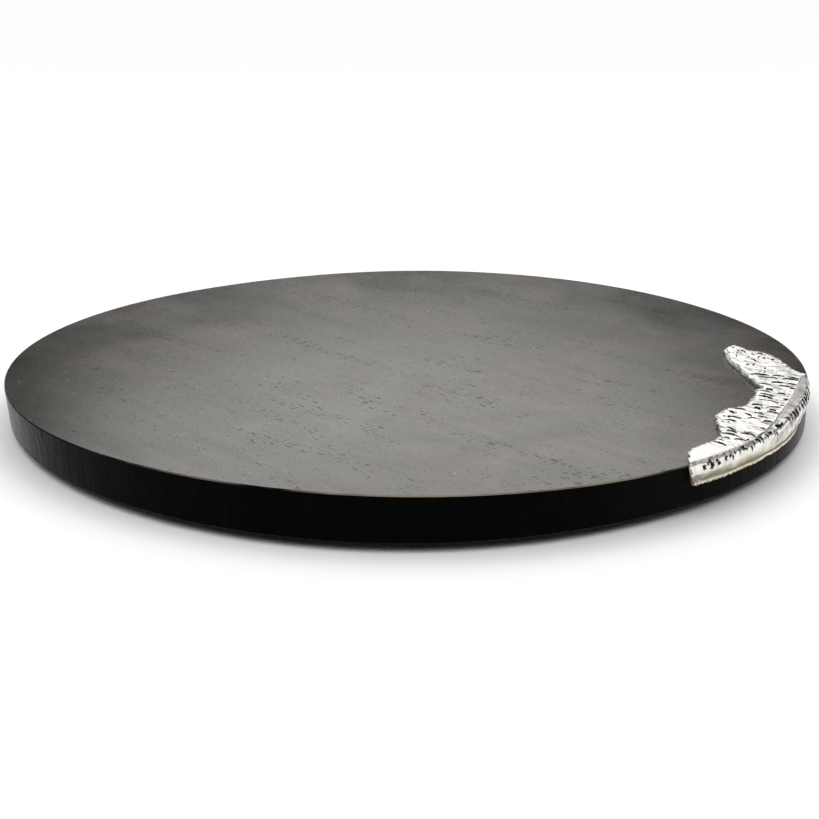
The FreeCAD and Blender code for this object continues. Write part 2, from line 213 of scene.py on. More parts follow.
def make_camera():
    """A 59 mm lens, 16 degrees above the board's top, 0.71 m from its middle."""
    distance, elevation, below_middle = 0.7105, math.radians(15.76), math.radians(2.42)
    data = bpy.data.cameras.new("camera")
    data.lens = 58.95
    data.sensor_width = 36.0
    data.clip_start, data.clip_end = 0.01, 100
    camera = bpy.data.objects.new("camera", data)
    camera.location = (
        0,
        -distance * math.cos(elevation),
        BOARD_TOP + distance * math.sin(elevation),
    )
    camera.rotation_euler = (math.pi / 2 - elevation - below_middle, 0, 0)
    bpy.context.scene.collection.objects.link(camera)
    bpy.context.scene.camera = camera


# ---------------------------------------------------------------- wood
def grain_coordinates(tree, stave):
    """Object coordinates: as they are, turned with X along the grain, and gently bent too."""
    sway = 18 * MM
    where = add(tree, "ShaderNodeTexCoord").outputs["Object"]
    turned = add(
        tree, "ShaderNodeMapping", {"Vector": where, "Rotation": (0, 0, -GRAIN_ANGLE)}
    ).outputs["Vector"]
    split = add(tree, "ShaderNodeSeparateXYZ", {0: turned})
    bend = noise(tree, stretched(tree, turned, (4.0, 9.0, 9.0), (stave * 3.1, 0, 0)), 1.0, 2.0)
    bend = maths(tree, "MULTIPLY", maths(tree, "SUBTRACT", bend, 0.5), sway)
    across = maths(tree, "ADD", split.outputs["Y"], bend)
    bent = add(
        tree,
        "ShaderNodeCombineXYZ",
        {"X": split.outputs["X"], "Y": across, "Z": split.outputs["Z"]},
    ).outputs["Vector"]
    return where, turned, bent


def pores(tree, bent, length, width, share, seed):
    """Short dashes along the grain in that share of the cells: 1 in a pore, 0 outside."""
    cell = stretched(tree, bent, (1 / length, 1 / width, 1 / width), (0, seed * 17.0, 0))
    voronoi = add(tree, "ShaderNodeTexVoronoi", {"Vector": cell, "Scale": 1.0, "Randomness": 0.85},
                  voronoi_dimensions="2D")
    dash = step_between(tree, voronoi.outputs["Distance"], 0.28, 0.14)
    lot = add(tree, "ShaderNodeSeparateColor", {0: voronoi.outputs["Color"]}).outputs["Red"]
    chosen = maths(tree, "LESS_THAN", lot, share)
    return maths(tree, "MULTIPLY", dash, chosen)


def specks(tree, where, spacing, radius, share):
    """Tiny round specks of dust in that share of the cells: 1 in a speck, 0 outside."""
    voronoi = add(tree, "ShaderNodeTexVoronoi", {"Vector": where, "Scale": 1 / spacing})
    dot = maths(tree, "LESS_THAN", voronoi.outputs["Distance"], radius / spacing)
    lot = add(tree, "ShaderNodeSeparateColor", {0: voronoi.outputs["Color"]}).outputs["Green"]
    return maths(tree, "MULTIPLY", dot, maths(tree, "LESS_THAN", lot, share))


def face_pores(tree, bent, stave):
    """Dark pores, crowded in rows, and a few pale flecks: each 1 in a mark, 0 outside."""
    rows = noise(tree, stretched(tree, bent, (9.0, 48.0, 48.0), (0, stave, 0)), 1.0, 4.0, 0.6)
    crowd = step_between(tree, rows, 0.50, 0.68)
    long_share = maths(tree, "MULTIPLY", crowd, 0.30)
    fine_share = maths(tree, "ADD", maths(tree, "MULTIPLY", crowd, 0.40), 0.05)
    long_pores = pores(tree, bent, 8.0 * MM, 0.9 * MM, long_share, stave)
    fine_pores = pores(tree, bent, 3.6 * MM, 0.6 * MM, fine_share, stave + 40)
    fleck = pores(tree, bent, 3.6 * MM, 0.9 * MM, 0.010, stave + 80)
    return maths(tree, "MAXIMUM", long_pores, maths(tree, "MULTIPLY", fine_pores, 0.6)), fleck


def rubbed_away(tree, where):
    """How far the stain is rubbed off beside the casting, on the top face only."""
    beside = add(tree, "ShaderNodeVectorMath", {0: where, 1: RUBBED_SPOT}, operation="DISTANCE")
    close = step_between(tree, beside.outputs["Value"], 42 * MM, 12 * MM)
    patchy = step_between(tree, noise(tree, where, 55.0, 3.0, 0.5), 0.35, 0.75)
    up = add(tree, "ShaderNodeSeparateXYZ", {0: where}).outputs["Z"]
    on_top = maths(tree, "GREATER_THAN", up, 0.9 * BOARD_TOP)
    return maths(tree, "MULTIPLY", maths(tree, "MULTIPLY", close, patchy), on_top)


def stain_colour(tree, where, cloud, streak):
    """Cloudy black stain with mossy, worn, streaked and rubbed patches."""
    mossy = step_between(tree, noise(tree, where, 13.0, 3.0, 0.5, 0.3), 0.52, 0.66)
    worn = step_between(tree, noise(tree, where, 17.0, 4.0, 0.6, 0.4), 0.50, 0.68)
    colour = mix_colour(tree, step_between(tree, cloud, 0.35, 0.7), (0.008, 0.0085, 0.0075),
                        (0.030, 0.029, 0.0245))
    colour = tinted(tree, colour, mossy, 0.5, (0.026, 0.031, 0.022))
    colour = tinted(tree, colour, worn, 0.6, (0.056, 0.040, 0.036))
    colour = tinted(tree, colour, step_between(tree, streak, 0.45, 0.7), 0.4,
                    (0.006, 0.0055, 0.005))
    return tinted(tree, colour, rubbed_away(tree, where), 0.7, (0.070, 0.043, 0.036))


def face_material(stave):
    """Top and underside of a stave: black stain in open pores under a thin satin oil."""
    material, tree, shader = new_material(f"wood_face_{stave}", IOR=1.45)
    where, turned, bent = grain_coordinates(tree, stave)
    pore, fleck = face_pores(tree, bent, stave)
    cloud = noise(tree, stretched(tree, turned, (9.0, 22.0, 22.0), (stave * 0.3, 0, 0)), 1.0, 4.0,
                  0.6)
    mottle = noise(tree, where, 19.0, 4.0, 0.6, 0.5)
    streak = noise(tree, stretched(tree, bent, (7.0, 170.0, 170.0), (0, stave, 0)), 1.0, 3.0)
    grit = noise(tree, where, 1100.0, 2.0, 0.6)
    dust = specks(tree, where, 9 * MM, 0.30 * MM, 0.42)

    colour = stain_colour(tree, where, cloud, streak)
    colour = mix_colour(tree, pore, colour, (0.002, 0.002, 0.002))
    colour = tinted(tree, colour, fleck, 0.5, (0.36, 0.32, 0.29))
    colour = mix_colour(tree, dust, colour, (0.75, 0.75, 0.72))
    tree.links.new(colour, shader.inputs["Base Color"])
    rough = weighted_sum(tree, 0.05, (cloud, 0.12), (mottle, 0.18), (streak, 0.05), (pore, 0.4),
                         clamp=True)
    tree.links.new(rough, shader.inputs["Roughness"])
    relief = weighted_sum(tree, 0.0, (pore, -0.10), (grit, 0.05), (streak, 0.03), (dust, 0.15))
    add_bump(tree, shader, relief, 0.5, 1.0 * MM)
    return material


def wall_material(stave):
    """The rim of a stave: sanded end and side grain, matt, with upright marks and a worn arris."""
    material, tree, shader = new_material(
        f"wood_wall_{stave}", IOR=1.45, Specular_IOR_Level=0.02, Sheen_Weight=0.48,
        Sheen_Roughness=0.28,
    )
    where = add(tree, "ShaderNodeTexCoord").outputs["Object"]
    slanted = add(tree, "ShaderNodeMapping", {"Vector": where, "Rotation": (0.0, 0.16, 0)})
    streaks = noise(tree, stretched(tree, slanted.outputs["Vector"], (150.0, 150.0, 60.0)), 1.0,
                    5.0, 0.68, 0.8)
    broad = noise(tree, stretched(tree, where, (40.0, 40.0, 9.0)), 1.0, 2.0)
    dust = specks(tree, where, 9 * MM, 0.3 * MM, 0.3)

    facing = add(tree, "ShaderNodeNewGeometry").outputs["Normal"]
    up = add(tree, "ShaderNodeSeparateXYZ", {0: facing}).outputs["Z"]
    edge = maths(tree, "MULTIPLY", step_between(tree, up, 0.2, 0.5),
                 step_between(tree, up, 0.97, 0.9))
    along = add(tree, "ShaderNodeSeparateXYZ", {0: where}).outputs["X"]
    wear = step_between(tree, noise(tree, where, 16.0, 3.0, 0.6), 0.40, 0.62)
    wear = maths(tree, "MULTIPLY", wear, step_between(tree, along, *ARRIS_WORN_FROM))

    colour = mix_colour(tree, broad, (0.0004, 0.0004, 0.0004), (0.0016, 0.0014, 0.0013))
    colour = tinted(tree, colour, step_between(tree, streaks, 0.50, 0.72), 0.5,
                    (0.0040, 0.0036, 0.0032))
    colour = mix_colour(tree, maths(tree, "MULTIPLY", edge, wear), colour, (0.24, 0.19, 0.145))
    colour = mix_colour(tree, dust, colour, (0.6, 0.6, 0.58))
    tree.links.new(colour, shader.inputs["Base Color"])
    tree.links.new(weighted_sum(tree, 0.46, (streaks, 0.2)), shader.inputs["Roughness"])
    add_bump(tree, shader, streaks, 0.45, 0.9 * MM)
    return material


def dress_staves():
    """Gives each stave its two materials: flat faces, and everything round the rim."""
    for number, name in enumerate(STAVES):
        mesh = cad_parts[name].data
        mesh.materials.clear()
        mesh.materials.append(face_material(number))
        mesh.materials.append(wall_material(number))
        for polygon in mesh.polygons:
            is_flat = abs(polygon.normal.z) > 0.99
            polygon.material_index = 0 if is_flat else 1


# ---------------------------------------------------------------- cast trim
# The casting in polar coordinates about the board's middle: angles in degrees from +X, radii
# and heights in millimetres, heights from the board's top face.
INNER_EDGE = [  # (angle, radius) of the ragged edge that faces the middle of the board
    (-55.2, 201.5), (-53.7, 196.7), (-52.1, 194.6), (-50.2, 194.0), (-48.1, 193.7),
    (-46.5, 192.3), (-44.8, 189.8), (-43.3, 186.1), (-40.9, 180.9), (-38.4, 177.0),
    (-36.4, 176.9), (-34.6, 177.3), (-33.6, 180.0), (-31.8, 182.0), (-30.4, 182.0),
    (-28.1, 181.3), (-26.0, 181.4), (-23.7, 180.4), (-22.0, 182.3), (-19.7, 177.9),
    (-16.4, 173.5), (-13.4, 170.5), (-10.3, 167.6), (-7.6, 165.5), (-4.9, 164.6),
    (-1.9, 165.6), (-0.5, 165.8), (1.5, 168.3), (2.45, 172.0),
]
OUTER_EDGE = [  # (angle, radius) of the edge on the rim's side, where the casting leaves the rim
    (-13.2, 201.6), (-12.6, 199.3), (-11.6, 196.7), (-9.3, 194.0), (-6.9, 191.9), (-4.1, 189.5),
    (-2.4, 186.6), (-1.3, 183.0), (-0.8, 179.6), (0.5, 177.9), (1.7, 176.0), (2.45, 173.6),
]
SKIRT_PROFILE = [  # (angle, crest r, crest z, ledge r, ledge z, face r, face z, lip r, low z)
    (-57, 205.6, 2.0, 206.4, 0.4, 206.5, -4.2, 207.5, -8.3),
    (-50, 205.6, 2.0, 206.4, 0.3, 206.5, -4.2, 207.5, -8.3),
    (-45, 205.0, 1.9, 206.0, 0.0, 206.4, -4.0, 207.4, -8.0),
    (-41, 203.4, 2.0, 205.4, 0.2, 206.3, -3.8, 207.3, -7.8),
    (-37, 201.2, 2.2, 204.6, 0.4, 206.0, -3.4, 207.1, -7.8),
    (-33, 199.3, 2.4, 203.8, 1.0, 205.5, -2.6, 206.6, -7.0),
    (-30, 198.5, 2.5, 203.0, 1.5, 204.9, -1.5, 205.7, -4.9),
    (-26, 198.0, 2.6, 202.8, 1.8, 204.3, -1.0, 204.9, -4.2),
    (-20, 198.0, 2.6, 202.8, 1.8, 204.0, -1.0, 204.5, -4.2),
    (-15, 199.0, 2.6, 202.0, 2.0, 203.6, 0.4, 203.9, -2.0),
]
PLATEAU = 2.08  # mean height of the casting's top
BED = -1.45  # floor of the bed that the casting lies in
SOFT_TOP, HARD_TOP = 2.25, 2.59  # the relief flattens between these heights
NEAR_END, FAR_END = -55.3, 2.42
LEAVES_RIM = (-15.2, -13.3)  # angles between which the skirt dies out
ALONG_STEPS = 780
WALL_GAP = 0.12  # between the skirt's inner side and the wood
ARC_RADIUS = 200  # turns an angle into a length along the rim
LOBE_FROM = -14  # the far lobe, which leaves the rim, lies beyond this angle
BOW = 0.11  # how far a stroke of the bark bows sideways, as a share of its length
STROKE_REACH = 9.0  # how far from a stroke's start its marks are looked for


def spline(stations, angle, column=1):
    """A smooth value at each angle through the stations' values: a cubic with eased slopes."""
    easing = 0.8
    x = np.array([row[0] for row in stations], float)
    y = np.array([row[column] for row in stations], float)
    slope = np.gradient(y, x)
    k = np.clip(np.searchsorted(x, angle) - 1, 0, len(x) - 2)
    width = x[k + 1] - x[k]
    share = np.clip((angle - x[k]) / width, 0, 1)
    rise = y[k + 1] - y[k]
    smooth = share * share * (3 - 2 * share)
    bow = share * (1 - share)
    lean = slope[k] * width * (1 - share) - slope[k + 1] * width * share
    return y[k] + rise * smooth + bow * (lean - rise * (1 - 2 * share)) * easing


def wobble(x, y, pitch, seed):
    """Smooth seeded noise between about -1 and 1, with features about that pitch across."""
    waves, peak = 7, 1.4
    draw = random.Random(seed)
    total = np.zeros(np.broadcast(x, y).shape)
    for _ in range(waves):
        turn = draw.uniform(0, 2 * math.pi)
        rate = 2 * math.pi / pitch * draw.uniform(0.6, 1.5)
        phase = draw.uniform(0, 2 * math.pi)
        total += np.sin(rate * (x * math.cos(turn) + y * math.sin(turn)) + phase)
    return total / math.sqrt(waves) / peak


def smooth_step(value, low, high):
    """0 below low, 1 above high."""
    share = np.clip((value - low) / (high - low), 0, 1)
    return share * share * (3 - 2 * share)


def rim_radius(angle):
    """The board's radius just under its top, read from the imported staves, at each angle."""
    smallest = 195  # anything nearer the middle is a seam or a hole
    points = np.concatenate(
        [np.array([v.co[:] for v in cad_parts[name].data.vertices]) for name in STAVES]
    )
    wall = points[(points[:, 2] > BOARD_TOP - 1.2 * MM) & (points[:, 2] < BOARD_TOP - 0.2 * MM)]
    turn = np.degrees(np.arctan2(wall[:, 1], wall[:, 0]))
    reach = np.hypot(wall[:, 0], wall[:, 1]) / MM
    outer = reach > smallest
    order = np.argsort(turn[outer])
    return np.interp(angle, turn[outer][order], reach[outer][order])


def skirt_outline(angle, rim):
    """Control points (r, z) from the plateau over the crest, down the skirt and back up the rim."""
    arc = np.radians(angle) * ARC_RADIUS
    crest_r, crest_z, ledge_r, ledge_z, face_r, face_z, lip_r, low_z = (
        spline(SKIRT_PROFILE, angle, column) for column in range(1, 9)
    )
    low_z = low_z + 0.25 * wobble(arc, 0 * arc, 3.5, 8) + 0.12 * wobble(arc, 0 * arc, 1.2, 9)
    return [
        (crest_r - 1.2, PLATEAU), (crest_r, crest_z),
        (0.6 * crest_r + 0.4 * ledge_r, 0.55 * crest_z + 0.45 * ledge_z),
        (ledge_r, ledge_z), (0.5 * (ledge_r + face_r), 0.5 * (ledge_z + face_z)),
        (face_r, face_z), (0.45 * face_r + 0.55 * lip_r, 0.5 * face_z + 0.5 * low_z),
        (lip_r, low_z + 1.3), (lip_r - 0.1, low_z + 0.35), (lip_r - 0.9, low_z),
        (rim + 0.3, low_z + 0.15), (rim, low_z + 0.5), (rim, 0.5 * (low_z + BED)), (rim, BED),
    ]


def edge_outline(outer):
    """As many control points down the far lobe's outer edge, which lies on the board."""
    return [
        (outer - 1.5, PLATEAU), (outer - 0.8, PLATEAU - 0.2), (outer - 0.4, 1.9),
        (outer - 0.15, 1.4), (outer - 0.05, 0.9), (outer, 0.4), (outer, 0.0), (outer, -0.3),
        (outer, -0.6), (outer, -0.8), (outer, -1.0), (outer, -1.15), (outer, -1.3),
        (outer - 0.05, BED),
    ]


def inner_outline(angle):
    """Control points up the ragged inner wall, from the bed to the plateau."""
    arc = np.radians(angle) * ARC_RADIUS
    ragged = 1 - 0.6 * smooth_step(angle, -22, -12)
    inner = spline(INNER_EDGE, angle) + ragged * (
        0.3 * wobble(arc, 0 * arc, 3.1, 5) + 0.16 * wobble(arc, 0 * arc, 1.5, 6)
    )
    rounding = 0.3 + 0.4 * smooth_step(angle, -54, -50)
    slope = smooth_step(angle, -26, -12)  # the far lobe's wall leans out
    return [
        (inner + 0.1, BED), (inner, -0.4), (inner + 0.3 * slope, 0.8),
        (inner + 0.35 * rounding + 0.75 * slope, 1.6), (inner + rounding + 0.9 * slope, 2.1),
        (inner + 2.2 * rounding + slope, PLATEAU - 0.03),
    ]


def section(angle):
    """The casting's cross-sections: radii and heights of control points, one row an angle."""
    leaving = smooth_step(angle, *LEAVES_RIM)
    points = inner_outline(angle)
    skirt = skirt_outline(angle, rim_radius(angle) + WALL_GAP)
    for (skirt_r, skirt_z), (edge_r, edge_z) in zip(skirt, edge_outline(spline(OUTER_EDGE, angle))):
        points.append((
            skirt_r * (1 - leaving) + edge_r * leaving,
            skirt_z * (1 - leaving) + edge_z * leaving,
        ))
    radii = np.stack([r for r, _ in points], 1)
    heights = np.stack([np.broadcast_to(z, angle.shape) for _, z in points], 1)
    return radii, heights


# Columns of the grid between one control point and the next, and the spans that run straight:
# the plateau, and the skirt's underside and hidden side.
ACROSS_STEPS = [2, 3, 3, 2, 3, 54, 4, 6, 8, 6, 7, 6, 5, 4, 3, 2, 1, 1, 2]
STRAIGHT_SPANS = {5, 15, 16, 17, 18}


def base_grid():
    """The smooth casting before its relief: a grid of points, angle by section."""
    angle = np.linspace(NEAR_END, FAR_END, ALONG_STEPS)
    radii, heights = section(angle)
    columns_r, columns_z = [], []
    for k, steps in enumerate(ACROSS_STEPS):
        before, after = max(k - 1, 0), min(k + 2, radii.shape[1] - 1)
        for share in np.arange(steps) / steps:
            weights = (
                -0.5 * share + share**2 - 0.5 * share**3,
                1 - 2.5 * share**2 + 1.5 * share**3,
                0.5 * share + 2 * share**2 - 1.5 * share**3,
                -0.5 * share**2 + 0.5 * share**3,
            )
            if k in STRAIGHT_SPANS:
                weights = (0, 1 - share, share, 0)
            picks = (before, k, k + 1, after)
            columns_r.append(sum(w * radii[:, p] for w, p in zip(weights, picks)))
            columns_z.append(sum(w * heights[:, p] for w, p in zip(weights, picks)))
    columns_r.append(radii[:, -1])
    columns_z.append(heights[:, -1])
    r, z = np.stack(columns_r, 1), np.stack(columns_z, 1)
    turn = np.radians(angle[:, None] + end_lean(angle, r, z))
    return np.stack([r * np.cos(turn), r * np.sin(turn), z], 2), angle, r


def end_lean(angle, radius, height):
    """Degrees by which the near end is cut back: most at the skirt's outside, less lower down."""
    most, starts, spread = -1.3, 201, 6.5
    outward = np.clip((radius - starts) / spread, 0, 1.1)
    lean = outward * most * (1 - smooth_step(angle, NEAR_END, -50))[:, None]
    return lean * (1 - 0.55 * smooth_step(-height, 0.0, 8.0))


def grid_normals(points):
    """Unit normals of a grid, pointing out of the casting."""
    normal = np.cross(np.gradient(points, axis=1), np.gradient(points, axis=0))
    length = np.linalg.norm(normal, axis=2, keepdims=True)
    return normal / np.maximum(length, 1e-9)


def polar_point(angle, radius, height=PLATEAU):
    """A point of the casting as x, y, z."""
    turn = math.radians(angle)
    return np.array([radius * math.cos(turn), radius * math.sin(turn), height])


def crest_radius(angle):
    """Radius at which the top ends: the skirt's crest, or the far lobe's outer edge."""
    edge = spline(OUTER_EDGE, np.maximum(angle, OUTER_EDGE[0][0]))
    return np.where(angle < LOBE_FROM, spline(SKIRT_PROFILE, angle), edge)


def top_span(angle):
    """The top's inner and outer radius at one angle."""
    turn = np.array([angle])
    return float(spline(INNER_EDGE, turn)[0]), float(crest_radius(turn)[0])


def new_stroke(draw, start, end, widths, depths, ridges):
    """A crack with drawn measures: (start, end, half width, depth, height of its ridge)."""
    return start, end, draw.uniform(*widths), draw.uniform(*depths), draw.uniform(*ridges)


def band_strokes(draw):
    """Rows of cracks across the band."""
    made = []
    angle = -48.5
    while angle < -15:
        inner, outer = top_span(angle)
        reach = outer - inner
        place = draw.uniform(0.06, 0.25)
        while place < 0.93:
            length = draw.uniform(3.0, 9.0)
            start = inner + place * reach
            end = min(start + length, outer - 0.4)
            if end - start > 1.2 and draw.random() < 0.74:
                made.append(new_stroke(
                    draw, polar_point(angle, start),
                    polar_point(angle + draw.uniform(-0.9, 0.5), end),
                    (0.26, 0.58), (0.5, 0.9), (0.28, 0.60),
                ))
            place += (length + draw.uniform(1.5, 5.0)) / reach
        angle += draw.uniform(0.85, 1.5)
    return made


def lobe_strokes(draw):
    """Short marks on the far lobe."""
    made = []
    for _ in range(22):
        angle = draw.uniform(-15, 1.0)
        inner, outer = top_span(angle)
        start = inner + draw.uniform(0.12, 0.85) * (outer - inner)
        made.append(new_stroke(
            draw, polar_point(angle, start),
            polar_point(angle + draw.uniform(-1.3, 1.3), start + draw.uniform(0.3, 2.4)),
            (0.22, 0.45), (0.4, 0.7), (0.15, 0.40),
        ))
    return made


def flutes(draw):
    """Cuts down the skirt's far half."""
    made = []
    angle = -33.5
    while angle < -19.0:
        top = draw.uniform(1.0, 2.2)
        made.append(new_stroke(
            draw, polar_point(angle, 203.0, top),
            polar_point(angle + draw.uniform(-0.3, 0.6), 204.6, top - draw.uniform(2.0, 4.2)),
            (0.40, 0.65), (0.6, 1.0), (0.20, 0.45),
        ))
        angle += draw.uniform(0.9, 1.7)
    return made


def skirt_cuts(draw):
    """The few cuts on the skirt's near half."""
    made = []
    for angle in (-53.3, -49.0, -47.7, -45.2, -43.6, -42.4, -41.0, -38.2):
        top = draw.uniform(-1.5, 2.0)
        made.append(new_stroke(
            draw, polar_point(angle, 205.6, top),
            polar_point(angle + draw.uniform(0.2, 0.9), 206.2, top - draw.uniform(1.6, 3.2)),
            (0.3, 0.5), (0.5, 0.8), (0.05, 0.15),
        ))
    return made


# Large pits of the skirt's face and ring-shaped knots of the top, listed one by one.
FACE_PITS = [  # (angle, radius, height, half length along the rim, half width, depth)
    (-53.3, 206.3, -1.8, 0.5, 0.7, 0.9), (-52.8, 206.2, -0.5, 0.5, 0.5, 0.9),
    (-52.2, 206.2, -1.5, 0.6, 0.6, 1.0), (-51.6, 206.2, -0.4, 0.5, 0.5, 0.9),
    (-52.3, 206.3, -2.9, 0.5, 0.5, 0.8), (-51.3, 206.2, -2.1, 0.5, 0.6, 0.9),
    (-50.2, 206.2, -0.8, 0.5, 0.8, 0.9), (-49.4, 206.1, -0.3, 0.8, 0.6, 0.9),
    (-48.5, 206.0, 0.3, 0.6, 0.5, 0.9), (-46.6, 205.6, 0.4, 0.8, 0.7, 1.0),
    (-46.0, 205.6, -0.4, 0.7, 0.5, 0.9), (-44.3, 205.5, 0.2, 0.5, 0.9, 1.0),
    (-42.0, 205.3, 0.2, 0.4, 1.0, 0.9), (-39.7, 204.9, 0.9, 1.3, 0.6, 1.0),
    (-38.6, 205.2, -0.4, 0.5, 1.0, 0.8), (-36.6, 204.0, 1.0, 1.7, 0.9, 1.3),
    (-35.6, 204.2, 0.7, 1.1, 0.6, 1.1), (-29.6, 203.9, 0.6, 0.6, 1.2, 1.0),
]
RING_KNOTS = [  # (angle, radius, ring radius)
    (-44.2, 195.0, 0.9), (-40.3, 184.5, 1.4), (-38.0, 181.5, 1.5), (-35.6, 181.0, 1.2),
    (-31.2, 190.6, 1.1), (-26.6, 187.6, 1.0), (-16.2, 189.3, 0.9), (-12.9, 187.0, 1.0),
    (-8.0, 178.0, 0.8), (-2.3, 169.0, 1.0), (0.2, 174.0, 0.9),
]


def shallow_relief(points, angle, radius, on_top, shown):
    """The bark's ripples and bumps, and the oxide that lies in the ripples."""
    x, y, z = points[..., 0], points[..., 1], points[..., 2]
    arc = np.broadcast_to(np.radians(angle)[:, None] * ARC_RADIUS, radius.shape)
    quiet = 1 - smooth_step(-angle, 47.5, 50.5)[:, None]  # the near end is almost smooth
    warp = 1.1 * wobble(x, y, 9.0, 31) + 0.4 * wobble(x, y, 3.6, 32)
    ripple = np.sin(2 * math.pi * (arc / 3.7 + warp * 0.42))
    height = 0.07 * ripple * on_top * quiet
    height += 0.13 * wobble(x, y, 9.0, 33) * on_top * (0.3 + 0.7 * quiet)
    height += 0.10 * wobble(arc, 1.5 * (z + radius), 7.0, 39) * (1 - on_top) * shown
    height += 0.02 * wobble(arc, z + radius, 1.8, 34) * shown
    oxide_and_shade = 0.2 * smooth_step(-ripple, 0.6, 1.0) * on_top * quiet
    oxide_and_shade *= smooth_step(wobble(x, y, 4.0, 35), -0.1, 0.7)
    return height, oxide_and_shade


def cut_strokes(points, angle, shown, height, oxide_and_shade):
    """Cuts each stroke as a dark groove with a ridge on its far side."""
    x, y = points[..., 0], points[..., 1]
    draw = random.Random(21)
    made = band_strokes(draw) + lobe_strokes(draw) + flutes(draw) + skirt_cuts(draw)
    for start, end, width, depth, ridge in made:
        heading = math.atan2(start[1], start[0])
        rows = np.where(np.abs(np.radians(angle) - heading) * ARC_RADIUS < STROKE_REACH)[0]
        if not len(rows):
            continue
        pick = slice(rows[0], rows[-1] + 1)
        length = np.linalg.norm(end - start)
        axis = (end - start) / length
        around = np.array([-math.sin(heading), math.cos(heading), 0])
        side = around - (around @ axis) * axis
        side = side / np.linalg.norm(side)
        offset = points[pick] - start
        along, sideways = offset @ axis, offset @ side
        depthwise = offset - along[..., None] * axis - sideways[..., None] * side
        share = np.clip(along / length, 0, 1)
        thin = width * (0.5 + 0.5 * np.sin(math.pi * np.clip(share, 0.06, 0.94)))
        bow = BOW * 4 * share * (1 - share) * length
        uneven = 0.15 * wobble(x[pick], y[pick], 4.0, 36)
        across = (sideways - bow + uneven) / thin
        inside = 1 - smooth_step(np.abs(along - share * length) / thin, 0.1, 1.0)
        inside *= (np.linalg.norm(depthwise, axis=2) < STROKE_REACH / 4) * shown[pick]
        groove = (1 - smooth_step(np.abs(across), 0.45, 1.1)) * inside
        raised = np.exp(-(((across - 1.9) / 0.9) ** 2)) * inside
        height[pick] += ridge * raised - depth * groove
        dark = (1 - smooth_step(np.abs(across - 0.35), 0.9, 1.45)) * inside
        oxide_and_shade[pick] = np.maximum(oxide_and_shade[pick], dark)


def press_pits(points, angle, radius, shown, height, oxide_and_shade):
    """Presses the large pits into the skirt's face, each with a raised lip."""
    z = points[..., 2]
    arc = np.radians(angle)[:, None] * ARC_RADIUS
    for pit_angle, pit_radius, pit_z, long, tall, depth in FACE_PITS:
        along = (arc - math.radians(pit_angle) * ARC_RADIUS) / (1.35 * long)
        up = np.hypot(radius - pit_radius, z - pit_z) / (1.35 * tall)
        away = np.hypot(along, up) + 0.45 * wobble(arc, z, 1.2, 37)
        pit = 1 - smooth_step(away, 0.55, 1.1)
        lip = np.exp(-((away - 1.5) ** 2) / 0.12)
        height += (0.10 * lip - depth * pit) * shown
        np.maximum(oxide_and_shade, (1 - smooth_step(away, 0.8, 1.3)) * shown, out=oxide_and_shade)


def press_knots(points, on_top, height, oxide_and_shade):
    """Presses the ring-shaped knots into the top."""
    x, y = points[..., 0], points[..., 1]
    for knot_angle, knot_radius, ring in RING_KNOTS:
        centre = polar_point(knot_angle, knot_radius)
        away = np.hypot(x - centre[0], y - centre[1]) + 0.15 * wobble(x, y, 1.4, 38)
        groove = np.exp(-(((away - ring) / 0.28) ** 2)) * on_top
        height += -0.45 * groove + 0.12 * np.exp(-((away / (0.6 * ring)) ** 2)) * on_top
        np.maximum(oxide_and_shade, 0.9 * groove, out=oxide_and_shade)


def soil_and_shade_edges(points, angle, radius, beyond_crest, shown, height, oxide_and_shade):
    """Oxide in the step under the crest; painted shade under the skirt's lip and at the inner foot,
    where the casting meets the wood; the near end face darkened too.
    """
    z = points[..., 2]
    arc = np.radians(angle)[:, None] * ARC_RADIUS
    step = smooth_step(beyond_crest, -0.1, 0.25) * smooth_step(beyond_crest, 1.1, 0.5)
    step = step * smooth_step(-angle, 16, 17)[:, None] * shown
    broken = smooth_step(wobble(arc, 0 * arc, 5.0, 40), -0.5, 0.6)
    height -= 0.22 * step * (0.5 + 0.5 * broken)
    # painted shade: the skirt's lowest lip, over the wood, is darkened
    lip = smooth_step(-z, 6.9, 8.1) * smooth_step(radius, 205.5, 206.5)
    # the near end face is darkened as well
    end = 1 - smooth_step(angle, NEAR_END + 0.15, NEAR_END + 0.6)[:, None]
    end = end * smooth_step(-z, -1.8, 0.5) * smooth_step(radius, 203.5, 205.5)
    # painted shade: the foot of the inner wall, where the casting meets the wood, is darkened
    past_edge = radius - spline(INNER_EDGE, angle)[:, None]
    foot = (1 - smooth_step(z, 0.1, 0.9)) * (1 - smooth_step(past_edge, 0.3, 1.0))
    # patches that break up the painted shade and the darkened end
    patchy_shade = smooth_step(wobble(arc, z, 2.2, 41), -0.6, 0.5)
    for patina_and_shade in (
        (0.15 + 0.3 * broken) * step,
        0.48 * patchy_shade * np.maximum(lip, end),
        (0.15 + 0.4 * patchy_shade) * foot,
    ):
        np.maximum(oxide_and_shade, patina_and_shade, out=oxide_and_shade)


def relief(points, angle, radius):
    """Height of the bark's relief along the normals, and how much dark oxide and painted shade each
    point holds.
    """
    shown = smooth_step(points[..., 2], -0.9, -0.2) + smooth_step(radius, 203.4, 204.2)
    shown = np.clip(shown, 0, 1)
    past_edge = radius - spline(INNER_EDGE, angle)[:, None]
    beyond_crest = radius - crest_radius(angle)[:, None]
    on_top = smooth_step(past_edge, 0.2, 2.0) * smooth_step(-beyond_crest, -0.3, 0.9)
    height, oxide_and_shade = shallow_relief(points, angle, radius, on_top, shown)
    cut_strokes(points, angle, shown, height, oxide_and_shade)
    press_pits(points, angle, radius, shown, height, oxide_and_shade)
    press_knots(points, on_top, height, oxide_and_shade)
    soil_and_shade_edges(points, angle, radius, beyond_crest, shown, height, oxide_and_shade)
    return height * shown, np.clip(oxide_and_shade, 0, 1)


